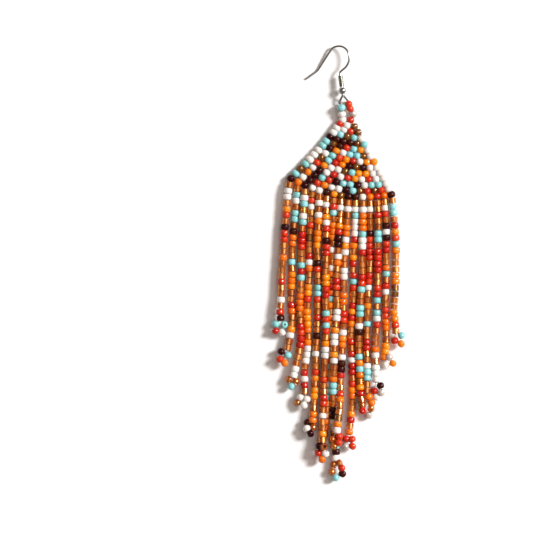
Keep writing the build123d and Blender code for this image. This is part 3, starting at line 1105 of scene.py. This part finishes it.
class EARRING_OT_glass(bpy.types.Operator):
    """Mix the glass, lining and thread finishes, and shape the four kinds of bead"""

    bl_idname = "earring.glass"
    bl_label = "Mix Bead Glass"

    def execute(self, context):
        colours = context.scene.earring_colours
        glass_batch_group()
        for glass in GLASSES:
            glass_material(glass, getattr(colours, glass.colour))
        lining_material("gold_lining", colours.gold_lining)
        lining_material("silver_lining", colours.silver_lining)
        thread_material(colours.thread)
        shapes = bpy.data.collections.new("bead_shapes")
        context.scene.collection.children.link(shapes)
        bead_shape("barrel_bead", [(0.495, 0.2), (0.46, 0.39), (0.34, 0.49), (0.17, 0.48)])
        bead_shape("cut_bead", [(0.5, 0.4), (0.42, 0.5), (0.19, 0.47)], [(0.43, 0.45)], True)
        lined_profile = [(0.5, 0.16), (0.45, 0.34), (0.33, 0.46), (0.18, 0.46)]
        bead_shape("lined_bead", lined_profile, [(0.37, 0.37)])
        bead_shape("round_bead", [(0.495, 0.12), (0.42, 0.33), (0.28, 0.46), (0.16, 0.47)])
        strung_beads_tree()
        return {"FINISHED"}


class EARRING_OT_crown(bpy.types.Operator):
    """Weave the triangular crown of beads"""

    bl_idname = "earring.crown"
    bl_label = "Weave Crown"

    def execute(self, context):
        sizes = context.scene.earring_sizes
        beads = crown_beads(sizes)
        string_up("crown_beads", beads, [], sizes, CROWN_SEED, "beaded_crown")
        return {"FINISHED"}


class EARRING_OT_fringe(bpy.types.Operator):
    """String the strands of the fringe, each with its picot"""

    bl_idname = "earring.fringe"
    bl_label = "String Fringe"

    def execute(self, context):
        sizes = context.scene.earring_sizes
        for number, strand in enumerate(STRANDS, start=1):
            beads, lines = strand_beads(number, strand, sizes)
            name = f"strand_beads_{number:02d}"
            node = f"fringe_strand_{number:02d}"
            string_up(name, beads, lines, sizes, FRINGE_SEED + number, node)
        return {"FINISHED"}


class EARRING_OT_loop(bpy.types.Operator):
    """String the short bead loop that hangs in the ear wire"""

    bl_idname = "earring.loop"
    bl_label = "String Hanging Loop"

    def execute(self, context):
        sizes = context.scene.earring_sizes
        beads, lines = loop_beads(sizes)
        string_up("loop_beads", beads, lines, sizes, LOOP_SEED, "hanging_loop")
        return {"FINISHED"}


class EARRING_OT_wire(bpy.types.Operator):
    """Polish the ear wire, its coil and its ball"""

    bl_idname = "earring.wire"
    bl_label = "Polish Ear Wire"

    def execute(self, context):
        finish = context.scene.earring_finish
        steel_material("polished_steel", finish.steel, finish.roughness)
        steel_material("coil_steel", finish.coil, COIL_DULLNESS * finish.roughness)
        for node, metal in STEEL_PARTS:
            solid = frame["nodes"][node]
            solid.data.materials.clear()
            solid.data.materials.append(bpy.data.materials[metal])
        return {"FINISHED"}


class EARRING_OT_stage(bpy.types.Operator):
    """Lay the white table, light it and hang the camera over it"""

    bl_idname = "earring.stage"
    bl_label = "Set Table"

    def execute(self, context):
        look = context.scene.earring_table
        table_top(look.table)
        turn = look.key_direction
        sun_lamp("key_light", look.key_strength, look.key_softness, look.key_elevation, turn)
        sun_lamp(
            "softbox", look.softbox_strength, look.softbox_softness, look.softbox_elevation, turn
        )
        soft_room(look.fill_colour, look.fill)
        overhead_camera(look.camera_height, look.picture_width)
        context.scene.view_settings.view_transform = "Standard"
        return {"FINISHED"}


class EARRING_PT_panel(bpy.types.Panel):
    """Steps that dress the earring, in order"""

    bl_idname = "EARRING_PT_panel"
    bl_label = "Beaded Fringe Earring"
    bl_space_type = "VIEW_3D"
    bl_region_type = "UI"
    bl_category = "Earring"

    def draw(self, context):
        for operator in OPERATORS:
            self.layout.operator(operator.bl_idname)
        for settings in (
            context.scene.earring_sizes,
            context.scene.earring_colours,
            context.scene.earring_finish,
            context.scene.earring_table,
        ):
            box = self.layout.box()
            for name in settings.__annotations__:
                box.prop(settings, name)


OPERATORS = (
    EARRING_OT_glass,
    EARRING_OT_crown,
    EARRING_OT_fringe,
    EARRING_OT_loop,
    EARRING_OT_wire,
    EARRING_OT_stage,
)
CLASSES = (BeadSizes, GlassColours, WireFinish, TableLight) + OPERATORS + (EARRING_PT_panel,)


def register():
    for cls in CLASSES:
        bpy.utils.register_class(cls)
    bpy.types.Scene.earring_sizes = PointerProperty(type=BeadSizes)
    bpy.types.Scene.earring_colours = PointerProperty(type=GlassColours)
    bpy.types.Scene.earring_finish = PointerProperty(type=WireFinish)
    bpy.types.Scene.earring_table = PointerProperty(type=TableLight)


def unregister():
    del bpy.types.Scene.earring_table
    del bpy.types.Scene.earring_finish
    del bpy.types.Scene.earring_colours
    del bpy.types.Scene.earring_sizes
    for cls in reversed(CLASSES):
        bpy.utils.unregister_class(cls)


def main():
    register()
    bpy.ops.earring.glass()
    bpy.ops.earring.crown()
    bpy.ops.earring.fringe()
    bpy.ops.earring.loop()
    bpy.ops.earring.wire()
    bpy.ops.earring.stage()
    shapes = bpy.data.collections["bead_shapes"]
    for shape in list(shapes.objects):
        bpy.data.objects.remove(shape)
    bpy.data.collections.remove(shapes)


if __name__ == "__main__":
    main()
